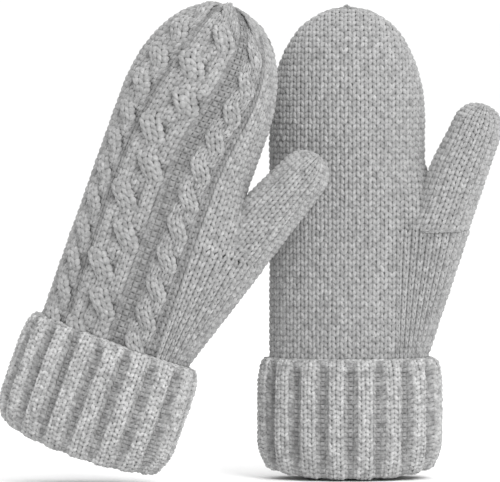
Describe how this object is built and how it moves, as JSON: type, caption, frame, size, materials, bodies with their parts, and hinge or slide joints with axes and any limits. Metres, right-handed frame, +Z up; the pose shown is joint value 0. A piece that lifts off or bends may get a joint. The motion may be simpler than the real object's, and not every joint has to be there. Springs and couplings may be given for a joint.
{
  "type": "knitted mittens",
  "caption": "Cable-knit mittens in heather grey with thumb gussets, deep turned-up ribbed cuffs and fleece linings, standing side by side.",
  "frame": {"origin": "middle of the pair's bounding box at the height of the surface it stands on", "axes": "+Z up, +X from the left-hand mitten towards the right-hand one and its thumb, -Y towards the viewer who sees the right-hand mitten's palm and the left-hand mitten's back"},
  "size_m": [0.268, 0.094, 0.2532],
  "materials": {
    "hand_yarn": "heather grey knitted yarn, soft and slightly fuzzy, dull",
    "cuff_yarn": "the same heather grey yarn in a deep two-by-two rib, dull",
    "seam_yarn": "two-ply heather grey yarn, dull",
    "fleece": "short brushed fleece pile, matt"
  },
  "bodies": {
    "right_hand": {"right_hand_shell": "hand_yarn", "right_hand_lining": "fleece", "right_wrist_rib": "cuff_yarn", "right_wrist_lining": "fleece", "right_lining_hem": "fleece", "right_thumb_seam": "seam_yarn", "right_tip_gather": "seam_yarn"},
    "right_thumb": {"right_thumb_shell": "hand_yarn", "right_thumb_lining": "fleece"},
    "right_cuff": {"right_turned_cuff": "cuff_yarn", "right_cuff_edge": "cuff_yarn"},
    "left_hand": {"left_hand_shell": "hand_yarn", "left_hand_lining": "fleece", "left_wrist_rib": "cuff_yarn", "left_wrist_lining": "fleece", "left_lining_hem": "fleece", "left_thumb_seam": "seam_yarn", "left_tip_gather": "seam_yarn"},
    "left_thumb": {"left_thumb_shell": "hand_yarn", "left_thumb_lining": "fleece"},
    "left_cuff": {"left_turned_cuff": "cuff_yarn", "left_cuff_edge": "cuff_yarn"}
  },
  "joints": [
    {"name": "left_mitten_lift_off", "type": "slide", "parent": "right_hand", "child": "left_hand", "axis": [0, 0, 1], "range_m": [0, 0.15]},
    {"name": "right_thumb_swing", "type": "hinge", "parent": "right_hand", "child": "right_thumb", "pos_m": [0.11274, 0.00713, 0.164], "axis": [0, 1, 0], "range_deg": [-10, 25]},
    {"name": "right_cuff_turn_down", "type": "slide", "parent": "right_hand", "child": "right_cuff", "axis": [0, 0, -1], "range_m": [0, 0.055]},
    {"name": "left_thumb_swing", "type": "hinge", "parent": "left_hand", "child": "left_thumb", "pos_m": [0.01311, -0.02853, 0.14405], "axis": [0.2595, 0.9613, -0.0929], "range_deg": [-10, 25]},
    {"name": "left_cuff_turn_down", "type": "slide", "parent": "left_hand", "child": "left_cuff", "axis": [-0.3371, 0, -0.9415], "range_m": [0, 0.055]}
  ]
}
